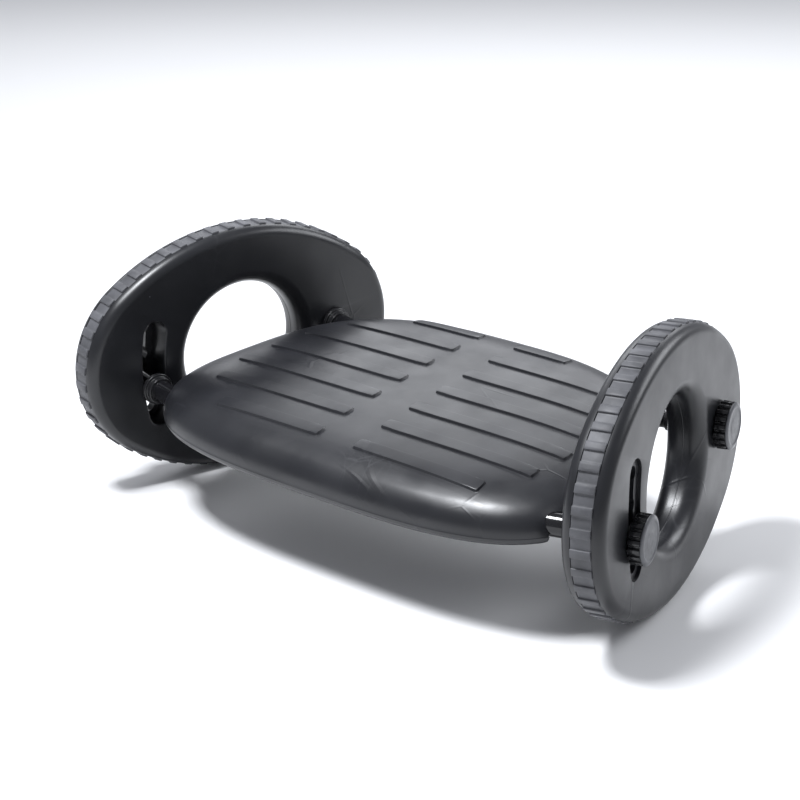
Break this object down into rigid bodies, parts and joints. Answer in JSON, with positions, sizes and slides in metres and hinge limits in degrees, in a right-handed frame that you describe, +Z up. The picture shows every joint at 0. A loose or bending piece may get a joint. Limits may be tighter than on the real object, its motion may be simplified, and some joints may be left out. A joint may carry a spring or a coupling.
{
  "type": "rocking footrest",
  "caption": "Rocking footrest: a ribbed, crowned platform on bent tube crossbars between oval rockers with rubber treads; knobs clamp its tilt in slotted rockers.",
  "frame": {"origin": "on the floor, under the centre of the bounding box", "axes": "+X to the sitter's right along the crossbars, +Y to the rear (away from the lower, front edge), +Z up"},
  "size_m": [0.5854, 0.3238, 0.2322],
  "materials": {
    "deck": "satin charcoal-black polyethylene with a fine moulded grain",
    "rocker": "satin black blow-moulded polyethylene",
    "tread": "matt charcoal rubber",
    "bar": "gloss black paint on steel tube",
    "collar": "glossy black nylon",
    "insert": "plain turned steel",
    "fastener": "zinc-plated steel",
    "strap": "black paint on steel strip",
    "washer": "plain dark nylon",
    "knob": "gloss black phenolic, ribbed",
    "cap": "satin dark grey plastic"
  },
  "bodies": {
    "platform": {"platform": "deck", "front_crossbar": "bar", "rear_crossbar": "bar", "strap_screws": "fastener", "front_left_strap": "strap", "front_left_collar": "collar", "front_left_plug": "insert", "front_left_stud": "fastener", "front_right_strap": "strap", "front_right_collar": "collar", "front_right_plug": "insert", "front_right_stud": "fastener", "rear_left_strap": "strap", "rear_left_collar": "collar", "rear_left_plug": "insert", "rear_left_stud": "fastener", "rear_right_strap": "strap", "rear_right_collar": "collar", "rear_right_plug": "insert", "rear_right_stud": "fastener"},
    "left_rocker": {"left_rocker": "rocker", "left_tread": "tread"},
    "right_rocker": {"right_rocker": "rocker", "right_tread": "tread"},
    "front_left_washer": {"front_left_washer": "washer"},
    "front_left_knob": {"front_left_knob": "knob", "front_left_cap": "cap", "front_left_nut": "fastener"},
    "front_right_washer": {"front_right_washer": "washer"},
    "front_right_knob": {"front_right_knob": "knob", "front_right_cap": "cap", "front_right_nut": "fastener"},
    "rear_left_washer": {"rear_left_washer": "washer"},
    "rear_left_knob": {"rear_left_knob": "knob", "rear_left_cap": "cap", "rear_left_nut": "fastener"},
    "rear_right_washer": {"rear_right_washer": "washer"},
    "rear_right_knob": {"rear_right_knob": "knob", "rear_right_cap": "cap", "rear_right_nut": "fastener"}
  },
  "joints": [
    {"name": "left_rocker_tilt", "type": "hinge", "parent": "platform", "child": "left_rocker", "pos_m": [-0.21168, 0.09724, 0.12118], "axis": [0.9724, -0.2317, -0.0284], "range_deg": [-7.5, 15]},
    {"name": "right_rocker_tilt", "type": "hinge", "parent": "platform", "child": "right_rocker", "pos_m": [0.21168, 0.09724, 0.12118], "axis": [0.9724, 0.2317, 0.0284], "range_deg": [-7.5, 15]},
    {"name": "front_left_washer_slide", "type": "slide", "parent": "platform", "child": "front_left_washer", "axis": [-0.9724, 0.2317, 0.0284], "range_m": [0, 0.00187]},
    {"name": "front_left_knob_turn", "type": "hinge", "parent": "front_left_washer", "child": "front_left_knob", "pos_m": [-0.258, -0.09424, 0.09769], "axis": [-0.9724, 0.2317, 0.0284], "range_deg": [0, 540]},
    {"name": "front_right_washer_slide", "type": "slide", "parent": "platform", "child": "front_right_washer", "axis": [0.9724, 0.2317, 0.0284], "range_m": [0, 0.00187]},
    {"name": "front_right_knob_turn", "type": "hinge", "parent": "front_right_washer", "child": "front_right_knob", "pos_m": [0.258, -0.09424, 0.09769], "axis": [0.9724, 0.2317, 0.0284], "range_deg": [0, 540]},
    {"name": "rear_left_washer_slide", "type": "slide", "parent": "platform", "child": "rear_left_washer", "axis": [-0.9724, 0.2317, 0.0284], "range_m": [0, 0.00187]},
    {"name": "rear_left_knob_turn", "type": "hinge", "parent": "rear_left_washer", "child": "rear_left_knob", "pos_m": [-0.21168, 0.09724, 0.12118], "axis": [-0.9724, 0.2317, 0.0284], "range_deg": [0, 540]},
    {"name": "rear_right_washer_slide", "type": "slide", "parent": "platform", "child": "rear_right_washer", "axis": [0.9724, 0.2317, 0.0284], "range_m": [0, 0.00187]},
    {"name": "rear_right_knob_turn", "type": "hinge", "parent": "rear_right_washer", "child": "rear_right_knob", "pos_m": [0.21168, 0.09724, 0.12118], "axis": [0.9724, 0.2317, 0.0284], "range_deg": [0, 540]}
  ],
  "couplings": [
    {"joint": "front_left_washer_slide", "follows": "front_left_knob_turn", "m_per_rad": 0.00019894},
    {"joint": "front_right_washer_slide", "follows": "front_right_knob_turn", "m_per_rad": 0.00019894},
    {"joint": "rear_left_washer_slide", "follows": "rear_left_knob_turn", "m_per_rad": 0.00019894},
    {"joint": "rear_right_washer_slide", "follows": "rear_right_knob_turn", "m_per_rad": 0.00019894}
  ]
}
